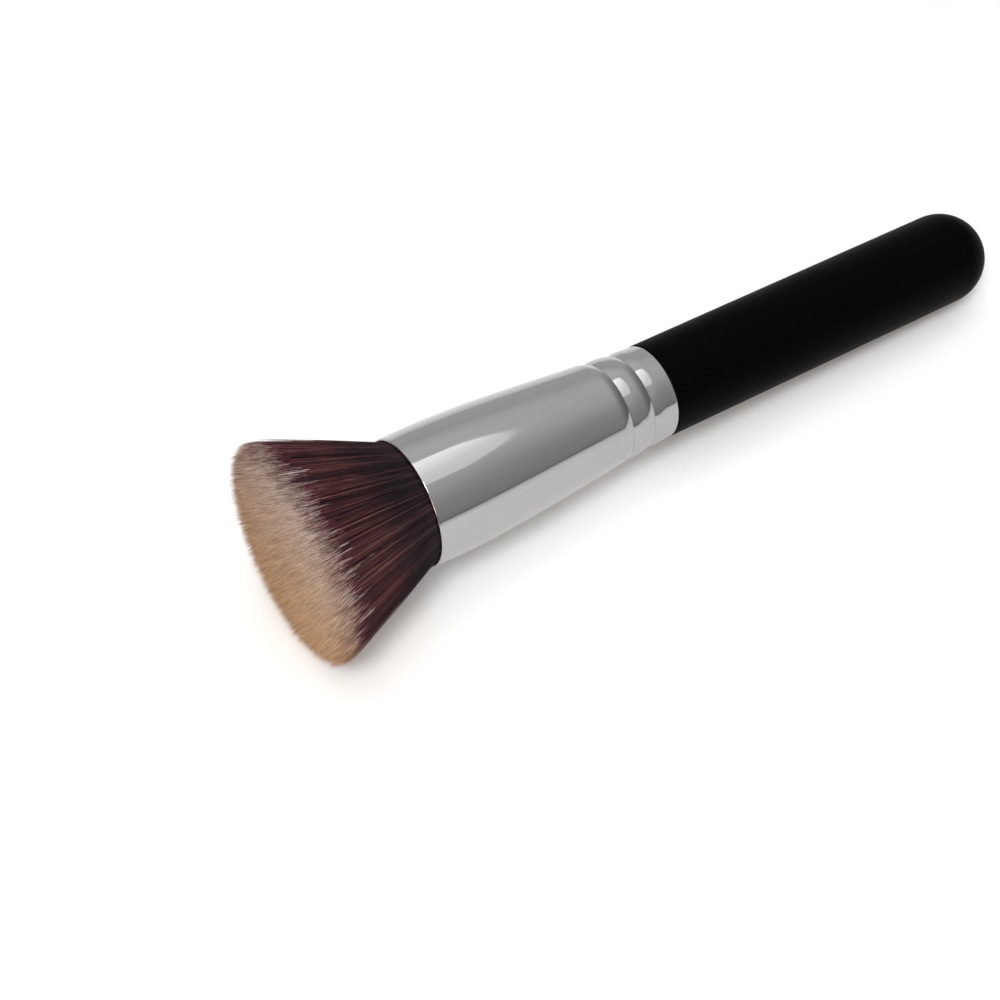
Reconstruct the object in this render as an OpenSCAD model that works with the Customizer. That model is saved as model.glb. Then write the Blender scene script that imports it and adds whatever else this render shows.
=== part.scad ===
// Flat-top kabuki makeup brush, lying on its side on a table.
// The table is z = 0. The brush's axis runs in the XZ plane from the crown of the tuft, at -X,
// to the round end of the handle, at +X. Millimetres.

/* [Tuft] */
// Free length of the tuft, from the ferrule's mouth to the top of its crown
tuft_out = 23; // [18:0.5:30]
// Width of the tuft across its rim
tuft_d = 39.2; // [32:0.1:46]
// Height of the crown's middle above the tips at its rim
crown_h = 2.6; // [1:0.1:5]
// How flat the crown is: a higher power keeps its middle flatter and its rim sharper
crown_power = 4; // [2:0.5:8]
// Depth to which the rim is pressed where it lies on the table
rim_press = 0.5; // [0:0.1:0.8]
// Rings of strands round the tuft's middle; three times their square is the number of strands
strand_rings = 12; // [10:1:12]
// Share of its place across the tuft that a strand fills at the ferrule's mouth
mouth_fill = 0.9; // [0.6:0.05:0.95]
// Share of its place that it fills just behind its tip
tip_fill = 0.8; // [0.5:0.05:0.95]
// Length of a strand's pointed tip
strand_point = 1.2; // [0.6:0.1:3]
// How unevenly the tips end
tip_scatter = 0.5; // [0:0.1:1]
// Length of the tuft inside the ferrule
root_depth = 14; // [10:0.5:17]
// Thickness of the root disc, where the strands are fused together
root_disc = 3.2; // [2:0.1:5]

/* [Ferrule] */
// Length of the ferrule
ferrule_len = 50; // [45:0.5:60]
// Outer width at the mouth
mouth_d = 22.8; // [21.5:0.1:26]
// Outer width just ahead of the first crimp
waist_d = 18.4; // [17.8:0.1:20]
// Outer width at the back rim
back_d = 17; // [16:0.1:17.4]
// Fullness of the flank behind the mouth, as the control radius of its curve
flank_r = 11.95; // [11:0.05:12.5]
// Fullness of the flank ahead of the waist, as the control radius of its curve
throat_r = 10.25; // [9.6:0.05:11]
// Wall thickness
ferrule_wall = 0.45; // [0.35:0.05:0.7]
// Distance from the back rim to the second crimp
crimp_inset = 5; // [3.5:0.1:6.5]
// Distance between the two crimps
crimp_pitch = 4.8; // [3.5:0.1:6.5]
// Depth of a crimp
crimp_depth = 0.4; // [0.2:0.05:0.6]
// Reach of a crimp's rounded shoulder to each side
crimp_reach = 2; // [0.8:0.1:2.4]

/* [Handle] */
// Length of the handle outside the ferrule
handle_len = 77; // [60:1:110]
// Width of the handle
handle_d = 17.2; // [16.6:0.1:18.4]
// Rounding of the shoulder that meets the ferrule
shoulder_round = 0.5; // [0.2:0.1:1]
// Length of the tenon inside the ferrule
tenon_len = 18; // [13:0.5:22]
// Chamfer at the tenon's front
tenon_chamfer = 0.8; // [0.3:0.1:1.5]

/* [Glue and binding] */
// Thickness of the glue between the tenon and the narrowest crimp
glue_film = 0.15; // [0.1:0.01:0.25]
// Distance from the back rim at which the tenon glue ends
glue_setback = 0.6; // [0.3:0.1:2]
// Length of the resin plug behind the root disc
plug_len = 6; // [4:0.5:8]
// How far the plug's lip reaches forward round the root disc
plug_lip = 1.2; // [0.5:0.1:1.6]
// Thickness of the binding thread
thread_d = 0.8; // [0.5:0.05:0.9]
// Gap between the binding thread and the ferrule
thread_gap = 0.2; // [0.05:0.05:0.4]
// Turns of the binding thread
thread_turns = 3; // [2:1:4]

/* [Hidden] */

bond_gap = 0.02;      // left between two bonded faces, so that no two solids overlap
thread_bite = 0.016;  // how far a turn of thread is pressed into the next
first_spoke = 30;     // direction of the net's first spoke, which makes the tuft alike on both sides
scatter_seed = 7;
body_steps = 26;      // steps along the ferrule's long curve
crimp_steps = 6;      // steps down each side of a crimp
lip_steps = 8;        // steps round a lip's half circle

// Stations along the axis, from the top of the crown
mouth_z = tuft_out;
root_z = mouth_z + root_depth;
disc_z = root_z - root_disc;
back_z = mouth_z + ferrule_len;
tenon_z = back_z - tenon_len;
end_z = back_z + handle_len;
crimp_back = ferrule_len - crimp_inset;
crimp_front = crimp_back - crimp_pitch;

tuft_r = tuft_d / 2;
handle_r = handle_d / 2;

// The brush rests on the pressed rim of its tuft and on the round end of its handle
rest_r = tuft_r - rim_press;
rim_z = crown_h + strand_point;
rest_reach = end_z - handle_r - rim_z;
tilt = atan(rest_r / rest_reach) - asin(handle_r / norm([rest_reach, rest_r]));
crown_height = rim_z * sin(tilt) + rest_r * cos(tilt);

// Cubic curve through four control values
function curve(t, a, b, c, d) =
    pow(1 - t, 3) * a + 3 * pow(1 - t, 2) * t * b + 3 * (1 - t) * t * t * c + t * t * t * d;

// How deep the wall is pressed at z by a crimp at c
function crimp_at(z, c) =
    abs(z - c) < crimp_reach ? crimp_depth * pow(1 - abs(z - c) / crimp_reach, 2) : 0;

// Outer radius of the ferrule, z from its mouth
function ferrule_base(z) =
    z < crimp_front
        ? curve(z / crimp_front, mouth_d / 2, flank_r, throat_r, waist_d / 2)
        : waist_d / 2 + (back_d - waist_d) / 2 * (z - crimp_front) / (ferrule_len - crimp_front);
function ferrule_r(z) = ferrule_base(z) - crimp_at(z, crimp_front) - crimp_at(z, crimp_back);

// Inner radius of the ferrule, z from its mouth
function bore_r(z) = ferrule_r(z) - ferrule_wall;

// Radius of the tuft's tied root, which leaves room for the thread
knot_r = bore_r(root_depth) - thread_gap - thread_d;

// Evenly spaced values from a to b
function steps(a, b, n) = [for (i = [0 : n]) a + (b - a) * i / n];

// Stations across the crimp at c, those past z
function crimp_stations(c, z) =
    [for (s = steps(c - crimp_reach, c + crimp_reach, 2 * crimp_steps)) if (s > z) s];

// Stations along the ferrule that its curves need
function ferrule_stations() = concat(
    steps(ferrule_wall, crimp_front - crimp_reach, body_steps),
    crimp_stations(crimp_front, crimp_front - crimp_reach),
    crimp_stations(crimp_back, crimp_front + crimp_reach),
    [ferrule_len - ferrule_wall]
);

// Those stations between a and b, with a and b themselves
function stations_between(a, b) = concat([a], [for (z = ferrule_stations()) if (z > a && z < b) z], [b]);

// Radius of the handle's tenon: it is straight, and the narrowest crimp grips it over a film of glue
tenon_front = ferrule_len - tenon_len + tenon_chamfer;
tenon_stations = stations_between(tenon_front, ferrule_len);
tenon_r = min([for (z = tenon_stations) bore_r(z)]) - glue_film;

// Half circle round the wall's end at station z; side is -1 at the mouth and 1 at the back rim
function lip(z, side) = [
    for (a = steps(0, 180, lip_steps))
        [ferrule_r(z) - ferrule_wall / 2 + ferrule_wall / 2 * cos(a), z + side * ferrule_wall / 2 * sin(a)]
];

// Height of the crown at share u of its radius, counted down from its middle
function crown_drop(u) = crown_h * (1 - sqrt(1 - pow(u, crown_power)));

// The strands stand on a net of spots: ring k holds 6k of them, joined to the next ring by triangles.
// Every other triangle of the net is the foot of a strand, and the rest are the root disc between.
function spot(k, j) = k == 0 ? 0 : 1 + 3 * k * (k - 1) + j % (6 * k);
spots = [
    [0, 0],
    for (k = [1 : strand_rings], j = [0 : 6 * k - 1])
        k / strand_rings * [cos(first_spoke + 60 * j / k), sin(first_spoke + 60 * j / k)]
];

// Triangle i of ring k in sextant s: with its base on the outer ring, or on the inner one
function based_outside(k, s, i) =
    [spot(k - 1, s * (k - 1) + i), spot(k, s * k + i), spot(k, s * k + i + 1)];
function based_inside(k, s, i) =
    [spot(k - 1, s * (k - 1) + i), spot(k, s * k + i + 1), spot(k - 1, s * (k - 1) + i + 1)];

// The triangles of ring k: of the first kind in sextants of this parity, of the second in the others
function ring_triangles(k, parity) = [
    for (s = [0 : 5])
        if (s % 2 == parity)
            for (i = [0 : k - 1]) based_outside(k, s, i)
        else if (k > 1)
            for (i = [0 : k - 2]) based_inside(k, s, i)
];
feet = [for (k = [1 : strand_rings]) each ring_triangles(k, 0)];
foot_rings = [for (k = [1 : strand_rings]) each [for (t = ring_triangles(k, 0)) k]];
between_feet = [for (k = [1 : strand_rings]) each ring_triangles(k, 1)];
strand_count = len(feet);
scatter = rands(0, tip_scatter, strand_count, scatter_seed);

// Radius of the whole tuft at station z, outside the ferrule
mouth_fill_r = bore_r(0) - bond_gap;
function flare_r(z) = tuft_r + (mouth_fill_r - tuft_r) * (z - rim_z) / (mouth_z - rim_z);

// The table's distance from the axis at station z, on the side that faces down
function table_x(z) = (crown_height - z * sin(tilt)) / cos(tilt);

// A point of the tuft, held off the table
function above_table(p, z) = [min(p.x, table_x(z)), p.y, z];

// Strand n: its triangle at the mouth, a wider one behind the tip, and the tip
function strand_points(n) =
    let (
        corners = [for (id = feet[n]) spots[id]],
        middle = (corners[0] + corners[1] + corners[2]) / 3,
        tip_z = crown_drop(foot_rings[n] / strand_rings) + scatter[n],
        wide_z = tip_z + strand_point
    )
    concat(
        [for (c = corners) above_table(mouth_fill_r * (middle + mouth_fill * (c - middle)), mouth_z)],
        [for (c = corners) above_table(flare_r(wide_z) * (middle + tip_fill * (c - middle)), wide_z)],
        [above_table(flare_r(wide_z) * middle, tip_z)]
    );
points_per_strand = 7;

// Faces of a wall between ring a and ring b of three points each, b nearer to the crown
function wall(a, b) = [
    for (i = [0 : 2])
        let (j = (i + 1) % 3)
        each [[a[i], a[j], b[j]], [a[i], b[j], b[i]]]
];

// Faces of strand n: from its foot to the mouth, on to the wide ring, and the tip
function strand_faces(n) =
    let (s = first_strand + n * points_per_strand)
    concat(
        wall(feet[n], [s, s + 1, s + 2]),
        wall([s, s + 1, s + 2], [s + 3, s + 4, s + 5]),
        [for (i = [0 : 2]) [s + 3 + i, s + 3 + (i + 1) % 3, s + 6]]
    );

// The root disc: the net of spots in front, a ring and a middle behind
edge_count = 6 * strand_rings;
edge_spot = len(spots) - edge_count;
back_edge = len(spots);
back_middle = back_edge + edge_count;
first_strand = back_middle + 1;
disc_points = concat(
    [for (p = spots) [knot_r * p.x, knot_r * p.y, disc_z]],
    [for (j = [0 : edge_count - 1]) let (p = spots[edge_spot + j]) [knot_r * p.x, knot_r * p.y, root_z]],
    [[0, 0, root_z]]
);
disc_faces = concat(
    between_feet,
    [
        for (j = [0 : edge_count - 1])
            let (next = (j + 1) % edge_count)
            each [
                [back_edge + j, back_edge + next, edge_spot + next],
                [back_edge + j, edge_spot + next, edge_spot + j],
                [back_middle, back_edge + next, back_edge + j]
            ]
    ]
);

// Middle of the box round the brush, along X, measured from the crown
strand_tips_x = [
    for (i = [0 : strand_count - 1])
        let (p = strand_points(i)[points_per_strand - 1])
        p.z * cos(tilt) - p.x * sin(tilt)
];
box_middle_x = (min(strand_tips_x) + (end_z - handle_r) * cos(tilt) + handle_r) / 2;

// Lays the brush on the table: its axis is +Z here, from the crown to the end of the handle
module lying() {
    translate([-box_middle_x, 0, crown_height])
        rotate([0, 90 + tilt, 0])
            children();
}

// Turned wood, black: a straight stem with a half-round end, and a tenon that the crimps grip
module handle() {
    color([0.03, 0.03, 0.035])
        lying()
            rotate_extrude($fn = 96) {
                translate([0, back_z])
                    stem_outline();
                translate([0, end_z - handle_r])
                    intersection() {
                        circle(handle_r, $fn = 96);
                        square(handle_r);
                    }
                polygon([
                    [0, back_z],
                    [0, tenon_z],
                    [tenon_r - tenon_chamfer, tenon_z],
                    [tenon_r, tenon_z + tenon_chamfer],
                    [tenon_r, back_z]
                ]);
            }
}

// Half outline of the handle's stem, with its rounded shoulder
module stem_outline() {
    difference() {
        square([handle_r, handle_len - handle_r]);
        translate([handle_r - shoulder_round, 0])
            difference() {
                square(shoulder_round);
                translate([0, shoulder_round])
                    circle(shoulder_round, $fn = 48);
            }
    }
}

// Drawn aluminium tube, polished, with round lips and two rolled crimps
module ferrule() {
    lip_r = ferrule_wall / 2;
    walls = [for (z = ferrule_stations()) if (z > lip_r && z < ferrule_len - lip_r) z];
    back_lip = lip(ferrule_len - lip_r, 1);
    color([0.78, 0.79, 0.8])
        lying()
            translate([0, 0, mouth_z])
                rotate_extrude($fn = 128)
                    polygon(concat(
                        lip(lip_r, -1),
                        [for (z = walls) [bore_r(z), z]],
                        [for (i = [lip_steps : -1 : 0]) back_lip[i]],
                        [for (i = [len(walls) - 1 : -1 : 0]) [ferrule_r(walls[i]), walls[i]]]
                    ));
}

// Synthetic filaments in locks, dark at the root and pale at the tip, fused to a slice of their root
module tuft() {
    color([0.42, 0.28, 0.24])
        lying()
            polyhedron(
                points = concat(disc_points, [for (n = [0 : strand_count - 1]) each strand_points(n)]),
                faces = concat(disc_faces, [for (n = [0 : strand_count - 1]) each strand_faces(n)])
            );
}

// Cured resin behind the roots, bonded to the ferrule's wall
module root_plug() {
    lip_z = root_depth - plug_lip;
    recess_r = knot_r + bond_gap;
    recess_z = root_depth + bond_gap;
    plug_end = root_depth + plug_len;
    color([0.75, 0.62, 0.35])
        lying()
            translate([0, 0, mouth_z])
                rotate_extrude($fn = 96)
                    polygon(concat(
                        [[0, recess_z], [recess_r, recess_z], [recess_r, lip_z]],
                        [for (z = stations_between(lip_z, plug_end)) [bore_r(z) - bond_gap, z]],
                        [[0, plug_end]]
                    ));
}

// Thread wound round the tied root, ahead of the resin
module binding_thread() {
    first_z = root_z - plug_lip - bond_gap - thread_d / 2;
    color([0.85, 0.82, 0.72])
        lying()
            rotate_extrude($fn = 96)
                for (turn = [0 : thread_turns - 1])
                    translate([knot_r + bond_gap + thread_d / 2, first_z - turn * (thread_d - thread_bite)])
                        circle(d = thread_d, $fn = 24);
}

// Glue between the tenon and the ferrule
module tenon_glue() {
    glue_end = ferrule_len - glue_setback;
    color([0.9, 0.88, 0.8])
        lying()
            translate([0, 0, mouth_z])
                rotate_extrude($fn = 96)
                    polygon(concat(
                        [for (z = stations_between(tenon_front, glue_end)) [bore_r(z) - bond_gap, z]],
                        [[tenon_r + bond_gap, glue_end], [tenon_r + bond_gap, tenon_front]]
                    ));
}

handle();
ferrule();
tuft();
root_plug();
binding_thread();
tenon_glue();
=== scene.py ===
# %% [markdown]
# A flat-top kabuki brush, dressed in Blender
#
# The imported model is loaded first, as a fixed frame that says where each piece of the brush is.
# Everything after this is looks: a camera, soft light, and for each piece the mesh and the
# finish of the real one. All lengths are in metres.

import math

import bpy
import numpy as np
from mathutils import Matrix, Vector, kdtree


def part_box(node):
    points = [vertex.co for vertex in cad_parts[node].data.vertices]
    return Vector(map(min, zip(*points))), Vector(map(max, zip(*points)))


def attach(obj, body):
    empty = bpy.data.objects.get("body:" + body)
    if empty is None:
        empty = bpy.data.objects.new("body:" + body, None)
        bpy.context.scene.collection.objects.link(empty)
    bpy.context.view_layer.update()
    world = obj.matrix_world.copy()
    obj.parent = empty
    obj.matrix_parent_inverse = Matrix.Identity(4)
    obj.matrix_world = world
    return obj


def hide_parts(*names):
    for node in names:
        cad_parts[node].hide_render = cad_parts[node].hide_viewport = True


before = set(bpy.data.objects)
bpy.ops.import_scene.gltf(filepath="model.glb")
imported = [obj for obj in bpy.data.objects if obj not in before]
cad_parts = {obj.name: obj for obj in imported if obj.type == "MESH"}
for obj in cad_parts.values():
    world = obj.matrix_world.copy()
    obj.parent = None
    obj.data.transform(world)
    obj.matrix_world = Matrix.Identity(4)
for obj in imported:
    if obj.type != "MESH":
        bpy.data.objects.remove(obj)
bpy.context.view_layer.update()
scene = bpy.context.scene
MM = 0.001
print("nodes:", sorted(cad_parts))

# %% [markdown]
# The brush lies on its side, so its axis slopes down from the wide tuft to the handle. Each piece
# is turned about that axis, and every place below is easiest to say as a distance along it. The
# slope could be typed in, but it is safer to measure it: the corners of the ferrule's mesh lie on
# circles round the axis, so the direction in which they spread most is the axis itself.

# %% Find the brush's axis
def corners_of(node):
    co = np.array([v.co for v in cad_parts[node].data.vertices])
    return np.unique(co.round(7), axis=0)


ferrule_corners = corners_of("ferrule")
handle_low, handle_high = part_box("handle")
handle_r = (handle_high.y - handle_low.y) / 2
spread = np.linalg.svd(ferrule_corners - ferrule_corners.mean(0), full_matrices=False)[2][0]
axis = spread * math.copysign(1, spread[0])
axis = np.array([axis[0], 0, axis[2]]) / math.hypot(axis[0], axis[2])
tilt = -math.asin(axis[2])
side = np.array([0.0, 1.0, 0.0])
over = np.cross(axis, side)
print("axis slopes by", round(math.degrees(tilt), 4), "degrees")

# %% [markdown]
# A place on the brush is then two numbers: its station along the axis, counted from the crown of
# the tuft, and its radius. Each piece's own stations and radii come from its mesh.

# %% Stations and radii of the pieces
def stations_and_radii(corners, origin):
    along = (corners - origin) @ axis
    across = corners - origin - np.outer(along, axis)
    return along, np.linalg.norm(across, axis=1)


tuft_corners = corners_of("tuft")
on_axis = ferrule_corners.mean(0) * (1, 0, 1)
crown = on_axis + axis * ((tuft_corners - on_axis) @ axis).min()
ferrule_s, ferrule_rs = stations_and_radii(ferrule_corners, crown)
handle_s, handle_rs = stations_and_radii(corners_of("handle"), crown)
mouth_s, back_s, end_s = ferrule_s.min(), ferrule_s.max(), handle_s.max()
print("mouth, back rim and end in mm:", [round(float(s) / MM, 2) for s in (mouth_s, back_s, end_s)])


def lay(piece):
    """Puts a piece that was made upright along Z onto the brush's axis, in its mesh."""
    turn = Matrix((-over, side, axis)).transposed().to_4x4()
    piece.data.transform(Matrix.Translation(crown) @ turn)
    piece.data.update()
    return piece


# %% [markdown]
# The camera stands in front of the tuft and to its side, level, and looks down on the brush. Its
# place comes from fitting a pinhole camera to the outline of the brush: it is 315 mm from the
# middle of the brush, and the middle is seen right of and above the picture's centre.

# %% Camera
FOCAL_PX = 1800
PICTURE_PX = 1000
SENSOR_MM = 36
AZIMUTH = math.radians(-33.41)
ELEVATION = math.radians(52.6)
DISTANCE = 315 * MM
MIDDLE_S = 75 * MM
MIDDLE_PX = (658.4, 387.6)

to_right = Vector((math.cos(AZIMUTH), math.sin(AZIMUTH), 0))
to_camera = Vector((
    math.sin(AZIMUTH) * math.cos(ELEVATION),
    -math.cos(AZIMUTH) * math.cos(ELEVATION),
    math.sin(ELEVATION),
))
to_top = to_camera.cross(to_right)
brush_middle = Vector(crown + MIDDLE_S * axis)
shift_right = (MIDDLE_PX[0] - PICTURE_PX / 2) / FOCAL_PX * DISTANCE
shift_up = (PICTURE_PX / 2 - MIDDLE_PX[1]) / FOCAL_PX * DISTANCE
eye = brush_middle + DISTANCE * to_camera - shift_right * to_right - shift_up * to_top

bpy.ops.object.camera_add(location=eye)
camera = bpy.context.object
camera.name = "camera"
camera.rotation_euler = Matrix((to_right, to_top, to_camera)).transposed().to_euler()
camera.data.sensor_width = SENSOR_MM
camera.data.lens = FOCAL_PX / PICTURE_PX * SENSOR_MM
camera.data.clip_start = 0.01
scene.camera = camera
print("camera at", [round(v, 3) for v in eye])

# %% [markdown]
# Materials are made of nodes, and one small function adds a node with its settings and links.
# A colour is written as it is seen on a screen, and turned to the linear light that nodes use.

# %% Helpers for materials
def colour(hex_code):
    def to_linear(value):
        return value / 12.92 if value <= 0.04045 else ((value + 0.055) / 1.055) ** 2.4

    parts = [int(hex_code[i:i + 2], 16) / 255 for i in (1, 3, 5)]
    return (*[to_linear(p) for p in parts], 1)


def add(tree, kind, inputs=None, stops=(), **settings):
    """Adds a node. An input that is a socket is linked, and any other value is set.

    A colour ramp's stops are pairs of a position and a hex colour.
    """
    node = tree.nodes.new(kind)
    for key, value in settings.items():
        setattr(node, key, value)
    for key, value in (inputs or {}).items():
        if isinstance(value, bpy.types.NodeSocket):
            tree.links.new(value, node.inputs[key])
        else:
            node.inputs[key].default_value = value
    if stops:
        elements = node.color_ramp.elements
        while len(elements) < len(stops):
            elements.new(0.5)
        for element, (position, hex_code) in zip(elements, stops):
            element.position = position
            element.color = colour(hex_code)
    return node


def new_material(name):
    material = bpy.data.materials.new(name)
    material.use_nodes = True
    tree = material.node_tree
    tree.nodes.clear()
    return material, tree


def on_the_brush(tree):
    """Object coordinates turned so that X runs along the brush's axis from the crown."""
    place = add(tree, "ShaderNodeTexCoord").outputs["Object"]
    turn = Matrix.Rotation(-tilt, 3, "Y")
    return add(tree, "ShaderNodeMapping", {
        "Vector": place,
        "Rotation": (0, -tilt, 0),
        "Location": -(turn @ Vector(crown)),
    }).outputs[0]


# %% [markdown]
# The floor is white and plain. Nearly all of its brightness is light from the lamps, which the
# brush keeps off it, so it takes a shadow. The small rest that it needs to be pure white is its
# own light, seen by the camera and in the metal. The lamps don't reach far, so away from the brush
# the floor has more light of its own, which only the camera sees.

# %% Floor
FLOOR_SIZE = 4.0
FLOOR_GLOW = 0.05
GLOW_FROM, GLOW_TO = 0.2, 0.7

bpy.ops.mesh.primitive_plane_add(size=FLOOR_SIZE)
floor = bpy.context.object
floor.name = "floor"
material, tree = new_material("white_floor")
path = add(tree, "ShaderNodeLightPath")
seen = path.outputs["Is Camera Ray"]
for ray in ("Is Glossy Ray", "Is Transmission Ray"):
    seen = add(tree, "ShaderNodeMath", {0: seen, 1: path.outputs[ray]},
               operation="ADD", use_clamp=True).outputs[0]
glow = add(tree, "ShaderNodeMath", {0: seen, 1: FLOOR_GLOW}, operation="MULTIPLY")
away = add(tree, "ShaderNodeVectorMath", {
    0: add(tree, "ShaderNodeTexCoord").outputs["Object"],
}, operation="LENGTH")
away = add(tree, "ShaderNodeMapRange", {
    "Value": away.outputs["Value"], "From Min": GLOW_FROM, "From Max": GLOW_TO,
})
glow = add(tree, "ShaderNodeMath", {
    0: away.outputs[0], 1: path.outputs["Is Camera Ray"], 2: glow.outputs[0],
}, operation="MULTIPLY_ADD")
shader = add(tree, "ShaderNodeBsdfPrincipled", {
    "Base Color": colour("#FAFAFA"),
    "Roughness": 1.0,
    "Specular IOR Level": 0.0,
    "Emission Color": (1, 1, 1, 1),
    "Emission Strength": glow.outputs[0],
})
add(tree, "ShaderNodeOutputMaterial", {"Surface": shader.outputs[0]})
floor.data.materials.append(material)

# %% [markdown]
# Polished metal shows the room more than itself, so the room is part of the picture. It is a grey
# studio: darker at the camera's side, where the table's far edge draws a dark line, lighter
# behind the brush and above, and dim to the far left and right, where dark curtains let the lamps
# draw a clear shadow.

# %% Room
HALVES_MEET = 0.55
FRONT_STOPS = [
    (0.0, "#7E7E7E"), (0.03, "#8C8C8C"), (0.045, "#ACACAC"), (0.095, "#ACACAC"),
    (0.105, "#949494"), (0.12, "#ADADAD"), (0.34, "#B4B4B4"), (0.57, "#C2C2C2"),
    (0.77, "#DADADA"), (1.0, "#EDEDED"),
]
BACK_STOPS = [
    (0.0, "#D8D8D8"), (0.42, "#D8D8D8"), (0.64, "#EEEEEE"), (0.77, "#F6F6F6"), (1.0, "#EDEDED"),
]
CURTAIN_STOPS = [(0.3, "#999999"), (0.53, "#FFFFFF"), (0.85, "#FFFFFF"), (1.0, "#B0B0B0")]

world = bpy.data.worlds.new("studio")
scene.world = world
world.use_nodes = True
tree = world.node_tree
tree.nodes.clear()
way = add(tree, "ShaderNodeTexCoord").outputs["Generated"]
parts = add(tree, "ShaderNodeSeparateXYZ", {0: way})
in_front, behind = [
    add(tree, "ShaderNodeValToRGB", {0: parts.outputs["Z"]}, stops=stops).outputs[0]
    for stops in (FRONT_STOPS, BACK_STOPS)
]
depth = add(tree, "ShaderNodeMapRange", {
    "Value": parts.outputs["Y"], "From Min": -HALVES_MEET, "From Max": HALVES_MEET,
})
from_left = add(tree, "ShaderNodeMapRange", {
    "Value": parts.outputs["X"], "From Min": -1.0, "From Max": 1.0,
})
curtains = add(tree, "ShaderNodeValToRGB", {0: from_left.outputs[0]}, stops=CURTAIN_STOPS)
path = add(tree, "ShaderNodeLightPath")
room = in_front
for amount, other, blend_type in (
    (depth.outputs[0], behind, "MIX"),
    (1.0, curtains.outputs[0], "MULTIPLY"),
    (path.outputs["Is Camera Ray"], (1, 1, 1, 1), "MIX"),
):
    room = add(tree, "ShaderNodeMix", {0: amount, 6: room, 7: other},
               data_type="RGBA", blend_type=blend_type).outputs[2]
background = add(tree, "ShaderNodeBackground", {"Color": room, "Strength": 1.0})
add(tree, "ShaderNodeOutputWorld", {"Surface": background.outputs[0]})

# %% [markdown]
# Three soft lamps light the brush. The key lamp hangs above and in front of it, so that the
# shadow hides close under the brush. A wide panel overhead is the bright wedge that the ferrule
# mirrors, and a warm lamp low on the left lights the ends of the filaments. Each is set by how
# bright it looks, where 1 is white paper: a lamp's watts are that times pi times its area.

# %% Lamps
def soft_lamp(name, place, aim, brightness, width, height, tint="#FFFFFF"):
    bpy.ops.object.light_add(type="AREA", location=place)
    lamp = bpy.context.object
    lamp.name = lamp.data.name = name
    lamp.data.shape = "RECTANGLE"
    lamp.data.size, lamp.data.size_y = width, height
    lamp.data.energy = brightness * math.pi * width * height
    lamp.data.color = colour(tint)[:3]
    lamp.rotation_euler = (Vector(aim) - Vector(place)).to_track_quat("-Z", "Y").to_euler()
    print(name, "has", round(lamp.data.energy, 2), "watts")
    return lamp


KEY, KEY_AIM, KEY_BRIGHT, KEY_WIDE = (-0.30, -0.24, 0.58), (0, 0, 0.01), 6.0, 0.32
LEFT, LEFT_AIM, LEFT_BRIGHT = (-0.60, -0.25, 0.16), (-0.07, 0, 0.02), 3.0
LEFT_WIDE, LEFT_HIGH, LEFT_TINT = 0.6, 0.34, "#FFE8D0"
PANEL, PANEL_AIM, PANEL_BRIGHT = (0.06, -0.011, 0.60), (0.06, -0.011, 0), 1.0
PANEL_WIDE, PANEL_DEEP = 0.66, 0.456

key = soft_lamp("key_lamp", KEY, KEY_AIM, KEY_BRIGHT, KEY_WIDE, KEY_WIDE)
left = soft_lamp("left_lamp", LEFT, LEFT_AIM, LEFT_BRIGHT, LEFT_WIDE, LEFT_HIGH, tint=LEFT_TINT)
panel = soft_lamp("panel_lamp", PANEL, PANEL_AIM, PANEL_BRIGHT, PANEL_WIDE, PANEL_DEEP)

# %% [markdown]
# A lamp can have nodes too: the place on it runs from 0 to 1 in both directions, and what they
# give multiplies the lamp's own brightness. The key lamp and the left lamp are bowls behind a
# cloth, brightest in the middle, so their reflections have no hard edge. The panel is a cloth with
# rounded ends, and its bulb sits behind one corner.

# %% Shapes of the lamps' light
KEY_PEAK, LEFT_PEAK = 4.4, 3.0
BOWL_EDGE, BOWL_MIDDLE = 0.5, 0.06
PANEL_ROUND, PANEL_HEM = 0.33, 0.006
WEDGE_WAY = (-0.6, 1.0, 0)
WEDGE_FROM, WEDGE_TO = -0.15, 0.25
WEDGE_DIM, WEDGE_BRIGHT = 0.55, 1.5


def lamp_nodes(lamp, wide, deep):
    """Clears a lamp's nodes, and gives the place on it from its middle, and how far out it is."""
    lamp.data.use_nodes = True
    tree = lamp.data.node_tree
    tree.nodes.clear()
    spot = add(tree, "ShaderNodeMapping", {
        "Vector": add(tree, "ShaderNodeNewGeometry").outputs["Parametric"],
        "Location": (-wide / 2, -deep / 2, 0), "Scale": (wide, deep, 0),
    }).outputs[0]
    reach = add(tree, "ShaderNodeVectorMath", {0: spot}, operation="LENGTH").outputs["Value"]
    return tree, spot, reach


strengths = []
for bowl, peak in ((key, KEY_PEAK), (left, LEFT_PEAK)):
    tree, spot, reach = lamp_nodes(bowl, 1, 1)
    strength = add(tree, "ShaderNodeMapRange", {
        "Value": reach, "From Min": BOWL_EDGE, "From Max": BOWL_MIDDLE, "To Max": peak,
    }, interpolation_type="SMOOTHERSTEP")
    strengths.append((tree, strength.outputs[0]))

tree, spot, reach = lamp_nodes(panel, PANEL_WIDE, PANEL_DEEP)
inside = add(tree, "ShaderNodeMapRange", {
    "Value": reach, "From Min": PANEL_ROUND, "From Max": PANEL_ROUND - PANEL_HEM,
})
slope = add(tree, "ShaderNodeVectorMath", {0: spot, 1: WEDGE_WAY}, operation="DOT_PRODUCT")
bright = add(tree, "ShaderNodeMapRange", {
    "Value": slope.outputs["Value"], "From Min": WEDGE_FROM, "From Max": WEDGE_TO,
    "To Min": WEDGE_DIM, "To Max": WEDGE_BRIGHT,
})
strength = add(tree, "ShaderNodeMath", {
    0: inside.outputs[0], 1: bright.outputs[0],
}, operation="MULTIPLY")
strengths.append((tree, strength.outputs[0]))

for tree, strength in strengths:
    shader = add(tree, "ShaderNodeEmission", {"Strength": strength})
    add(tree, "ShaderNodeOutputLight", {"Surface": shader.outputs[0]})

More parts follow.
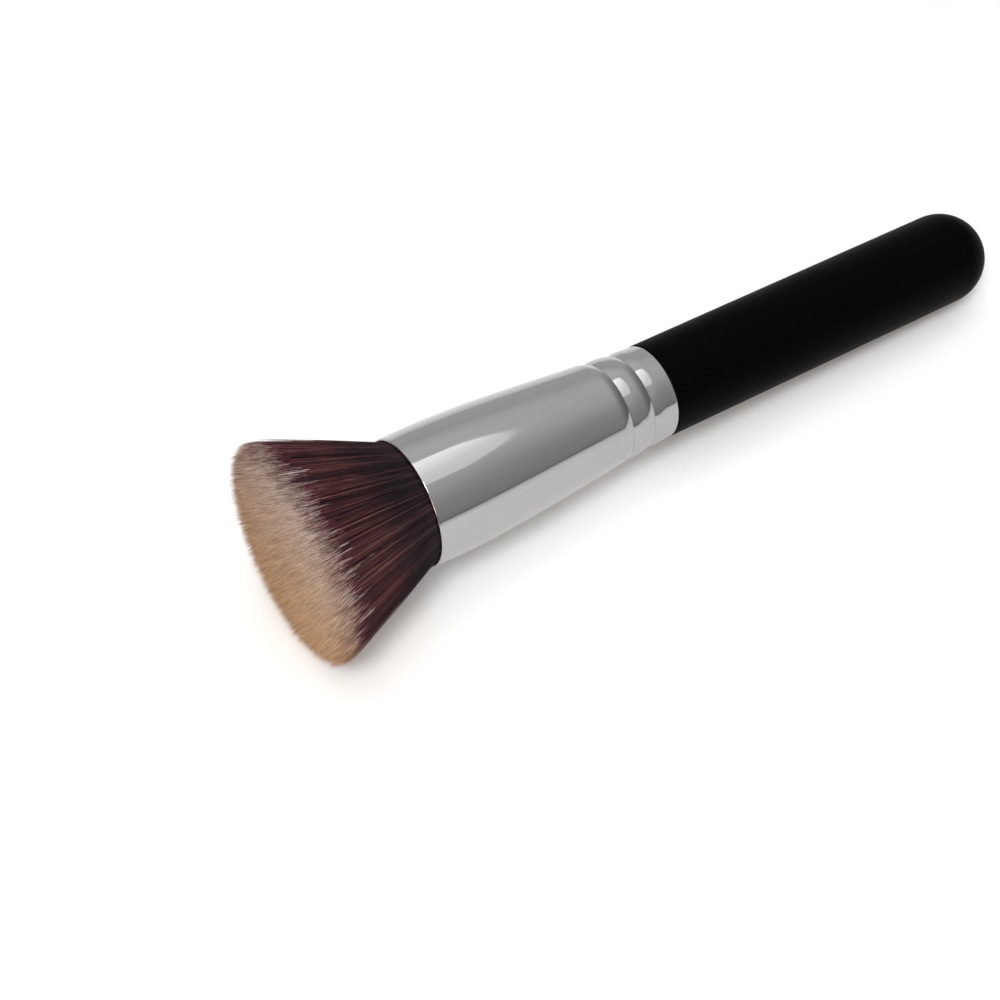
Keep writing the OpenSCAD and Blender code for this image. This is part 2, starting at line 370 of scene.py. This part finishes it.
scene.view_settings.view_transform = "Standard"

# %% [markdown]
# The ferrule and the handle are turned shapes, and the way to make one by hand is to draw half of
# its outline and spin it about its axis. The outline's points are the circles of the frame's own
# piece, so the new mesh is the same shape, with 256 sides in place of 96: the polished metal is a
# mirror, and a mirror shows every facet.

# %% Helper that spins an outline
SPIN_STEPS = 256
SAME_POINT = 1e-7
CREASE_ANGLE = math.radians(25)


def spun(name, outline):
    """A closed solid of revolution about Z from (radius, height) points, outside surface first."""
    bpy.ops.object.select_all(action="DESELECT")
    bpy.ops.mesh.primitive_plane_add(size=MM)
    piece = bpy.context.object
    piece.name = piece.data.name = name
    bpy.ops.object.mode_set(mode="EDIT")
    bpy.ops.mesh.select_all(action="SELECT")
    bpy.ops.mesh.merge(type="CENTER")
    bpy.ops.transform.translate(value=(outline[0][0], 0, outline[0][1]))
    for (r0, z0), (r1, z1) in zip(outline, outline[1:]):
        bpy.ops.mesh.extrude_region_move(TRANSFORM_OT_translate={"value": (r1 - r0, 0, z1 - z0)})
    bpy.ops.mesh.select_all(action="SELECT")
    bpy.ops.mesh.spin(steps=SPIN_STEPS, angle=2 * math.pi, center=(0, 0, 0), axis=(0, 0, 1))
    bpy.ops.mesh.select_all(action="SELECT")
    bpy.ops.mesh.remove_doubles(threshold=SAME_POINT)
    bpy.ops.mesh.normals_make_consistent(inside=False)
    bpy.ops.object.mode_set(mode="OBJECT")
    bpy.ops.object.shade_smooth_by_angle(angle=CREASE_ANGLE)
    print(name, "has", len(piece.data.polygons), "faces")
    return lay(piece)


# %% [markdown]
# The ferrule is a drawn tube of thin metal. Its rims are turned over into round lips, and two
# crimps are rolled into it, whose creases bite the handle's tenon. Its outline goes once round
# the wall: back along the outside, and forward along the bore.

# %% Ferrule
SAME_STATION, SAME_RADIUS = 2e-6, 2e-5


def circles_of(stations, radii):
    """The (station, radius) of every circle that a turned piece's corners lie on."""
    order = np.lexsort((radii, stations.round(6)))
    circles, group = [], []
    for index in order:
        here = np.array((stations[index], radii[index]))
        if group and ((here - group[-1]) > (SAME_STATION, SAME_RADIUS)).any():
            circles.append(np.mean(group, axis=0))
            group = []
        group.append(here)
    circles.append(np.mean(group, axis=0))
    return circles


def wall_halves(circles):
    """Outer and inner (radius, station) points of a thin tube."""
    by_station = {}
    for s, r in circles:
        by_station.setdefault(round(s, 5), []).append((r, s))
    outer = [max(points) for points in by_station.values()]
    inner = [min(points) for points in by_station.values()]
    return outer, inner


outer, inner = wall_halves(circles_of(ferrule_s, ferrule_rs))
print("ferrule outline has", len(outer), "stations, radii",
      [round(float(r) / MM, 2) for r, s in outer[:: len(outer) // 8]])
ferrule = spun("polished_ferrule", outer + inner[::-1] + outer[:1])
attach(ferrule, "root")
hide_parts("ferrule")

# %% [markdown]
# The handle is one turned stick. The frame holds it as a few circles, and a ball at its end, so
# its outline is drawn here from those: the tenon, the rounded shoulder, the long side, and a
# quarter circle that closes the end.

# %% Handle
END_STEPS = 40
SHOULDER_STEPS = 8
SHOULDER_R = 0.5 * MM
ROUNDING = 0.01 * MM

stem_start = handle_s[handle_rs > handle_r - ROUNDING].min() - SHOULDER_R
tenon_r = handle_rs[handle_s < stem_start - MM].max()
tenon_start = handle_s.min()
tenon_chamfer = handle_s[handle_rs > tenon_r - ROUNDING].min() - tenon_start
outline = [
    (0, tenon_start),
    (tenon_r - tenon_chamfer, tenon_start),
    (tenon_r, tenon_start + tenon_chamfer),
    (tenon_r, stem_start),
    (handle_r - SHOULDER_R, stem_start),
]
for step in range(1, SHOULDER_STEPS + 1):
    turn = math.pi / 2 * step / SHOULDER_STEPS
    outline.append((handle_r - SHOULDER_R * (1 - math.sin(turn)),
                    stem_start + SHOULDER_R * (1 - math.cos(turn))))
ball_s = end_s - handle_r
for step in range(END_STEPS + 1):
    turn = math.pi / 2 * step / END_STEPS
    outline.append((handle_r * math.cos(turn) if step < END_STEPS else 0,
                    ball_s + handle_r * math.sin(turn)))
handle = spun("lacquered_handle", outline)
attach(handle, "root")
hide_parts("handle")
print("tenon radius and chamfer in mm:", round(tenon_r / MM, 3), round(tenon_chamfer / MM, 3))

# %% [markdown]
# Behind the free filaments sits the root of the tuft, a hard round block of filaments soaked in
# resin. It can't be seen once the brush is built, but it closes the ferrule behind the filaments.

# %% Root block
ROOT_FRONT_S = mouth_s + 4 * MM
ROOT_ROUND = 0.6 * MM
ROOT_GAP = 0.05 * MM

tuft_s, tuft_rs = stations_and_radii(tuft_corners, crown)
root_back_s = tuft_s.max()
knot_r = tuft_rs[tuft_s > root_back_s - 0.1 * MM].max()
root_block = spun("tuft_root_block", [
    (0, ROOT_FRONT_S),
    (knot_r - ROOT_ROUND, ROOT_FRONT_S),
    (knot_r - ROOT_GAP, ROOT_FRONT_S + ROOT_ROUND),
    (knot_r - ROOT_GAP, root_back_s),
    (0, root_back_s),
])
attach(root_block, "root")
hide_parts("tuft")

# %% [markdown]
# The tuft is what makes the brush: tens of thousands of synthetic filaments, each just under a
# tenth of a millimetre thick, with a fine point. They are real meshes here, because the soft
# outline, the jagged line of the dye and the depth between the tips all come from single ones.
#
# One filament is modelled by hand: a triangle, extruded four times, and closed to a point. Its
# corners say which ring they belong to by their height. Then that mesh is copied along a path of
# its own for each filament, in numbers, because no modifier gives every copy its own bend.

# %% Model of one filament
FILAMENT_SIDES = 3
FILAMENT_RINGS = 4

bpy.ops.object.select_all(action="DESELECT")
bpy.ops.mesh.primitive_circle_add(vertices=FILAMENT_SIDES, radius=1)
model = bpy.context.object
bpy.ops.object.mode_set(mode="EDIT")
bpy.ops.mesh.select_all(action="SELECT")
for ring in range(FILAMENT_RINGS):
    bpy.ops.mesh.extrude_region_move(TRANSFORM_OT_translate={"value": (0, 0, 1)})
bpy.ops.mesh.merge(type="CENTER")
bpy.ops.mesh.select_all(action="SELECT")
bpy.ops.mesh.normals_make_consistent(inside=False)
bpy.ops.object.mode_set(mode="OBJECT")
model_corners = np.array([v.co for v in model.data.vertices])
model_ring = model_corners[:, 2].round().astype(int)
model_faces = [list(p.vertices) for p in model.data.polygons]
bpy.data.objects.remove(model)
print("a filament has", len(model_corners), "corners and", len(model_faces), "faces")

# %% [markdown]
# The roots fill the ferrule's mouth evenly, like the seeds of a sunflower, and the tips fill the
# wide rim in the same order, so filaments fan out and don't cross. Filaments cling together: a
# few in a wisp, and several wisps in a lock. Each wisp and each lock gets a number of its own, by
# which its filaments share part of their lean, their length and the place where their dye ends.

# %% Wisps and locks
FILAMENTS = 80000
WISPS = 24000
LOCKS = 2500
SEED = 11
GOLDEN_ANGLE = math.radians(137.50776)
WISP_TURN, LOCK_TURN = 0.7, 1.9
JITTER, WISP_JITTER, LOCK_JITTER = 0.0008, 0.003, 0.008
MOST_SHARE = 0.999

rng = np.random.default_rng(SEED)


def seeds(count, turn, jitter):
    """Evenly spread places in a circle of radius 1."""
    number = np.arange(count)
    r, a = np.sqrt((number + 0.5) / count), number * GOLDEN_ANGLE + turn
    return np.stack([r * np.cos(a), r * np.sin(a)], 1) + rng.normal(0, jitter, (count, 2))


def nearest(places, centres):
    """For each place, the number of the nearest centre."""
    tree = kdtree.KDTree(len(centres))
    for index, spot in enumerate(centres):
        tree.insert((*spot, 0), index)
    tree.balance()
    return np.array([tree.find((*spot, 0))[1] for spot in places])


place = seeds(FILAMENTS, 0.0, JITTER)
share = np.minimum(np.linalg.norm(place, axis=1), MOST_SHARE)
wisp_place = seeds(WISPS, WISP_TURN, WISP_JITTER)
lock_place = seeds(LOCKS, LOCK_TURN, LOCK_JITTER)
wisp = nearest(place, wisp_place)
lock = nearest(wisp_place, lock_place)[wisp]
print(FILAMENTS, "filaments in", len(set(wisp)), "wisps and", len(set(lock)), "locks")

# %% [markdown]
# Now the tips. They lie on the flat cut, which is a low dome that falls away at the rim, and each
# ends a little short of it or long of it, so that the cut looks soft.

# %% Tips
RIM_R = 19.45 * MM
CROWN_H = 1.9 * MM
CROWN_POWER = 6.0
WISP_PULL = 0.28
LOCK_PULL = 0.10
LEAN = 0.18 * MM
MEAN_SHORTER = 0.15 * MM
UNEVEN_WISP, UNEVEN_FILAMENT = 0.15 * MM, 0.5 * MM
STRAY_SHARE, STRAY_REACH = 0.01, 0.6 * MM
LIP, LIP_GAP = 2 * MM, 0.06 * MM

tip_place = place + WISP_PULL * (wisp_place[wisp] - place) + LOCK_PULL * (lock_place[lock] - place)
tip_across = RIM_R * tip_place
tip_across += rng.normal(0, LEAN, (LOCKS, 2))[lock] + rng.normal(0, LEAN, (FILAMENTS, 2))
tip_r = np.linalg.norm(tip_across, axis=1)
stray = (rng.random(FILAMENTS) < STRAY_SHARE) * rng.uniform(0, STRAY_REACH, FILAMENTS)
tip_across *= (np.minimum(tip_r + stray, RIM_R + stray) / tip_r)[:, None]
crown_s = CROWN_H * (1 - np.sqrt(1 - share ** CROWN_POWER))
tip_s = (crown_s + MEAN_SHORTER + rng.normal(0, UNEVEN_WISP, WISPS)[wisp]
         + rng.normal(0, UNEVEN_FILAMENT, FILAMENTS))
mouth_r = min(r for r, s in inner if s < mouth_s + LIP) - LIP_GAP
mouth_across = mouth_r * place
print("mouth radius and mean tip in mm:", round(mouth_r / MM, 2), round(tip_s.mean() / MM, 2))

# %% [markdown]
# The rings of a filament stand at its root inside the ferrule, at the mouth, at two places in
# the free part, and its point closes it. The middle rings bow a little, each wisp its own way.
# Where the tuft lies on the table it is pressed flat: nothing goes below the table.

# %% Paths of the filaments
FILAMENT_R = 0.043 * MM
RING_SHARES = (0.0, 0.42, 0.83)
RING_THICKNESS = (1.0, 1.0, 1.0, 0.85, 0.0)
THINNEST, THICKEST = 0.75, 1.2
ROOT_DEPTH = 3 * MM
ROOT_TIGHT = 0.985
OVER_THE_LIP = 0.1 * MM
BOW = 0.12 * MM
TABLE_GAP = 0.02 * MM

bow = rng.normal(0, BOW, (WISPS, 2))[wisp] + rng.normal(0, BOW, (FILAMENTS, 2))
rings = [(np.full(FILAMENTS, mouth_s + ROOT_DEPTH), mouth_across * ROOT_TIGHT)]
for ring_share in RING_SHARES:
    s = (mouth_s - OVER_THE_LIP) * (1 - ring_share) + tip_s * ring_share
    across = mouth_across * (1 - ring_share) + tip_across * ring_share
    rings.append((s, across + bow * math.sin(math.pi * ring_share)))
rings.append((tip_s, tip_across))
ring_s = np.stack([s for s, across in rings], 1)
ring_across = np.stack([across for s, across in rings], 1)
centres = (crown + ring_s[..., None] * axis
           + ring_across[..., :1] * over + ring_across[..., 1:] * side)
centres[..., 2] = np.maximum(centres[..., 2], FILAMENT_R + TABLE_GAP)
heading = np.gradient(centres, axis=1)
heading /= np.linalg.norm(heading, axis=2, keepdims=True)
first = np.cross(heading, side)
first /= np.linalg.norm(first, axis=2, keepdims=True)
second = np.cross(heading, first)
thickness = (FILAMENT_R * np.array(RING_THICKNESS)[None, :]
             * rng.uniform(THINNEST, THICKEST, (FILAMENTS, 1)))
print("filaments are", round(2 * float(thickness[:, 0].mean()) / MM, 3), "mm thick on average")

# %% [markdown]
# Three numbers are stored on each filament for its finish: its own shade, and how far each
# corner lies into the bleach, which starts at the tip, and past the end of the dye. On the upper
# side the pale reaches further from the tips, and on the lower side less far: that shift is
# painted sheen, paler where the light falls on top and more tan below. The dye ends some 2 mm
# below the rim, nearer to the tips on the upper side, because the bundle was dipped a little
# askew. It crept up some wisps further than others, which draws the jagged line, and a few
# stayed pale much further down. It soaked in from outside, so inside the tuft it ends deeper, and
# the cut looks light end-on.

# %% Dye
DYE_S = 2.3 * MM
DYE_ASKEW, TOP_SHEEN_ASKEW = 0.95 * MM, 1.0 * MM
CREEP_LOCK, CREEP_WISP, CREEP_FILAMENT = 0.35 * MM, 1.6 * MM, 0.55 * MM
LEAST_TAN = 0.4 * MM
SOAK_FROM, SOAK_TO, SOAK_DEEPER = 3 * MM, 8 * MM, 7 * MM
PALE_SHARE = 0.06
PALE_REACH = 4 * MM
SHADE_LOCK, SHADE_WISP, SHADE_FILAMENT = 0.05, 0.19, 0.17

dye_s = (DYE_S - DYE_ASKEW * place[:, 0] + rng.normal(0, CREEP_LOCK, LOCKS)[lock]
         + rng.normal(0, CREEP_WISP, WISPS)[wisp] + rng.normal(0, CREEP_FILAMENT, FILAMENTS))
dye_s += (rng.random(WISPS) < PALE_SHARE)[wisp] * rng.uniform(0, PALE_REACH, WISPS)[wisp]
dye_s += (rng.random(FILAMENTS) < PALE_SHARE) * rng.uniform(0, PALE_REACH, FILAMENTS)
dye_s += SOAK_DEEPER * np.clip((RIM_R * (1 - share) - SOAK_FROM) / (SOAK_TO - SOAK_FROM), 0, 1)
dye_s = np.maximum(dye_s, tip_s + LEAST_TAN)
# Paler on the upper side and more tan below: painted sheen where the light falls on top.
bleach_and_sheen_s = tip_s - TOP_SHEEN_ASKEW * place[:, 0]
shade = np.clip(0.5 + rng.normal(0, SHADE_LOCK, LOCKS)[lock] + rng.normal(0, SHADE_WISP, WISPS)[wisp]
                + rng.normal(0, SHADE_FILAMENT, FILAMENTS), 0, 1)
print("at the rim the dye ends", round(dye_s[share > 0.9].mean() / MM, 2), "mm behind the crown")

# %% [markdown]
# The filaments are built in nine layers, from the middle of the tuft outwards, so that no piece
# of the model is too heavy.

# %% Build the layers
LAYERS = 9


def layer_mesh(name, chosen):
    """One mesh that holds a copy of the model filament along each chosen path."""
    per, count = len(model_corners), len(chosen)
    radius = thickness[chosen][:, model_ring, None]
    corners = (centres[chosen][:, model_ring]
               + radius * model_corners[None, :, :1] * first[chosen][:, model_ring]
               + radius * model_corners[None, :, 1:2] * second[chosen][:, model_ring])
    loops = (np.concatenate(model_faces)[None, :] + per * np.arange(count)[:, None]).ravel()
    sizes = np.tile([len(f) for f in model_faces], count)
    starts = np.concatenate([[0], np.cumsum(sizes)[:-1]])
    mesh = bpy.data.meshes.new(name)
    mesh.vertices.add(per * count)
    mesh.vertices.foreach_set("co", corners.reshape(-1).astype(np.float32))
    mesh.loops.add(len(loops))
    mesh.loops.foreach_set("vertex_index", loops.astype(np.int32))
    mesh.polygons.add(len(sizes))
    mesh.polygons.foreach_set("loop_start", starts.astype(np.int32))
    mesh.polygons.foreach_set("use_smooth", np.ones(len(sizes), dtype=bool))
    station = ring_s[chosen][:, model_ring]
    values = {
        "past_dye_mm": (station - dye_s[chosen][:, None]) / MM,
        "bleach_and_sheen_mm": (station - bleach_and_sheen_s[chosen][:, None]) / MM,
        "shade": np.repeat(shade[chosen][:, None], per, axis=1),
    }
    for key, value in values.items():
        layer = mesh.attributes.new(key, "FLOAT", "POINT")
        layer.data.foreach_set("value", value.reshape(-1).astype(np.float32))
    mesh.update(calc_edges=True)
    mesh.validate()
    return mesh


filament_layers = []
for layer in range(LAYERS):
    chosen = np.arange(FILAMENTS * layer // LAYERS, FILAMENTS * (layer + 1) // LAYERS)
    name = f"filaments_layer_{layer + 1}"
    piece = bpy.data.objects.new(name, layer_mesh(name, chosen))
    scene.collection.objects.link(piece)
    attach(piece, "root")
    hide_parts("tuft")
    filament_layers.append(piece)
print(FILAMENTS, "filaments,", sum(len(p.data.polygons) for p in filament_layers), "faces")

# %% [markdown]
# The filaments are nylon, dyed plum brown and left tan at the tips. Each has its own shade. Away
# from the tip they are bleached pale, and where the dye begins they are burgundy. On the upper
# side the pale reaches further from the tips, which is painted sheen where the light falls on top.
# Towards the ferrule the colour goes almost black, which is painted shade where the filaments
# crowd into its mouth. So the finish starts tan, and four other ranges of colour take over one by
# one, each between two distances in millimetres.

# %% Two-tone filament
TAN = [(0.0, "#8A6246"), (0.35, "#BC9068"), (0.65, "#DAB48A"), (1.0, "#F0D8BC")]
PALE = [(0.0, "#3E2C38"), (0.5, "#B2A29A"), (1.0, "#FFF8F4")]
BURGUNDY = [(0.0, "#180812"), (0.5, "#46162A"), (1.0, "#94505E")]
PLUM = [
    (0.0, "#140A10"), (0.35, "#341A24"), (0.5, "#4E222C"),
    (0.62, "#5A3432"), (0.8, "#7C4644"), (1.0, "#9A685C"),
]
# Almost black towards the ferrule: painted shade where the filaments crowd into its mouth.
NEAR_MOUTH_SHADE = [(0.0, "#0A060A"), (0.5, "#1E1216"), (0.65, "#301A24"), (1.0, "#54383A")]

material, tree = new_material("two_tone_nylon_filament")
past, bleach_and_sheen, own = [
    add(tree, "ShaderNodeAttribute", attribute_name=name).outputs["Fac"]
    for name in ("past_dye_mm", "bleach_and_sheen_mm", "shade")
]
whole = add(tree, "ShaderNodeValToRGB", {0: own}, stops=TAN).outputs[0]
for how_far, start, end, stops in (
    # the pale step also carries the painted sheen of the upper side
    (bleach_and_sheen, -0.1, 2.1, PALE),
    (past, -0.2, 0.1, BURGUNDY),
    (past, 0.6, 3.0, PLUM),
    # painted shade towards the ferrule
    (past, 6.0, 15.0, NEAR_MOUTH_SHADE),
):
    step = add(tree, "ShaderNodeMapRange", {"Value": how_far, "From Min": start, "From Max": end},
               interpolation_type="SMOOTHSTEP")
    tone = add(tree, "ShaderNodeValToRGB", {0: own}, stops=stops)
    whole = add(tree, "ShaderNodeMix", {0: step.outputs[0], 6: whole, 7: tone.outputs[0]},
                data_type="RGBA").outputs[2]
shader = add(tree, "ShaderNodeBsdfPrincipled", {
    "Base Color": whole,
    "Roughness": 0.5,
    "Specular IOR Level": 0.3,
})
add(tree, "ShaderNodeOutputMaterial", {"Surface": shader.outputs[0]})
for piece in filament_layers:
    piece.data.materials.append(material)

# %% [markdown]
# Four finishes have one pattern in one colour and nothing more: the root block, which is the same
# filaments soaked with resin, hard and dark, with knots of filaments a quarter of a millimetre
# wide, and three pieces that are sealed inside the ferrule and keep the frame's own meshes. The
# resin behind the roots is cloudy in spots of 4 mm, the thread round them has a twist every
# 0.4 mm, and the glue round the tenon is uneven every 2 mm. A noise pattern's scale is one over
# the size of its spots.

# %% Hidden pieces
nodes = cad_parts
HIDDEN = [  # piece, finish, dark and light colour, size of spots, detail, roughness
    (root_block, "resin_soaked_roots", "#1C1012", "#4A2C28", 0.25 * MM, 2.0, 0.35),
    (nodes["root_plug"], "cured_amber_resin", "#7A4A18", "#B98138", 4 * MM, 3.0, 0.15),
    (nodes["binding_thread"], "twisted_cotton_thread", "#B5AB90", "#E2DAC4", 0.4 * MM, 3.0, 0.85),
    (nodes["tenon_glue"], "cured_clear_glue", "#B9B29A", "#DAD5C2", 2 * MM, 3.0, 0.2),
]
for piece, name, dark, light, spots, detail, rough in HIDDEN:
    material, tree = new_material(name)
    grain = add(tree, "ShaderNodeTexNoise", {
        "Vector": on_the_brush(tree), "Scale": 1 / spots, "Detail": detail,
    })
    tone = add(tree, "ShaderNodeValToRGB", {0: grain.outputs["Fac"]},
               stops=[(0.35, dark), (0.65, light)])
    shader = add(tree, "ShaderNodeBsdfPrincipled", {
        "Base Color": tone.outputs[0],
        "Roughness": rough,
    })
    add(tree, "ShaderNodeOutputMaterial", {"Surface": shader.outputs[0]})
    piece.data.materials.clear()
    piece.data.materials.append(material)

# %% [markdown]
# The ferrule is polished aluminium, a little grey. It mirrors the room softly, and drawing the
# tube has left fine lines along it. Real ones are a few hundredths of a millimetre wide, too fine
# to show, so they are drawn half a millimetre wide and very faint. Handling leaves a haze in
# patches of some 5 mm.

# %% Polished metal
LINE_LONG, LINE_WIDE = 25 * MM, 0.5 * MM
HAZE_PATCH = 5 * MM

material, tree = new_material("polished_aluminium")
along = on_the_brush(tree)
stretched = add(tree, "ShaderNodeMapping", {
    "Vector": along, "Scale": (1 / LINE_LONG, 1 / LINE_WIDE, 1 / LINE_WIDE),
})
lines = add(tree, "ShaderNodeTexNoise", {
    "Vector": stretched.outputs[0], "Scale": 1.0, "Detail": 3.0,
}).outputs["Fac"]
tone = add(tree, "ShaderNodeValToRGB", {0: lines}, stops=[(0.3, "#A8A8A9"), (0.7, "#ACACAD")])
haze = add(tree, "ShaderNodeTexNoise", {"Vector": along, "Scale": 1 / HAZE_PATCH, "Detail": 3.0})
roughness = add(tree, "ShaderNodeMapRange", {
    "Value": haze.outputs["Fac"], "To Min": 0.06, "To Max": 0.12,
})
bump = add(tree, "ShaderNodeBump", {"Height": lines, "Strength": 0.08, "Distance": 0.02 * MM})
shader = add(tree, "ShaderNodeBsdfPrincipled", {
    "Base Color": tone.outputs[0],
    "Metallic": 1.0,
    "Roughness": roughness.outputs[0],
    "Normal": bump.outputs[0],
})
add(tree, "ShaderNodeOutputMaterial", {"Surface": shader.outputs[0]})
ferrule.data.materials.append(material)

# %% [markdown]
# The handle is wood under matte black lacquer, sprayed and cured: almost no colour of its own, a
# wide faint sheen, and a surface that isn't quite even. The droplets have dried to an orange peel
# of half a millimetre, and the matting is stronger in clouds of some 8 mm.

# %% Black lacquer
PEEL = 0.5 * MM
CLOUD = 8 * MM

material, tree = new_material("matte_black_lacquer")
along = on_the_brush(tree)
peel, cloud = [
    add(tree, "ShaderNodeTexNoise", {
        "Vector": along, "Scale": 1 / spots, "Detail": detail,
    }).outputs["Fac"]
    for spots, detail in ((PEEL, 2.0), (CLOUD, 3.0))
]
roughness = add(tree, "ShaderNodeMapRange", {"Value": cloud, "To Min": 0.42, "To Max": 0.55})
tone = add(tree, "ShaderNodeValToRGB", {0: peel}, stops=[(0.3, "#020203"), (0.7, "#040405")])
bump = add(tree, "ShaderNodeBump", {"Height": peel, "Strength": 0.15, "Distance": 0.03 * MM})
shader = add(tree, "ShaderNodeBsdfPrincipled", {
    "Base Color": tone.outputs[0],
    "Roughness": roughness.outputs[0],
    "Specular IOR Level": 0.02,
    "Normal": bump.outputs[0],
})
add(tree, "ShaderNodeOutputMaterial", {"Surface": shader.outputs[0]})
handle.data.materials.append(material)
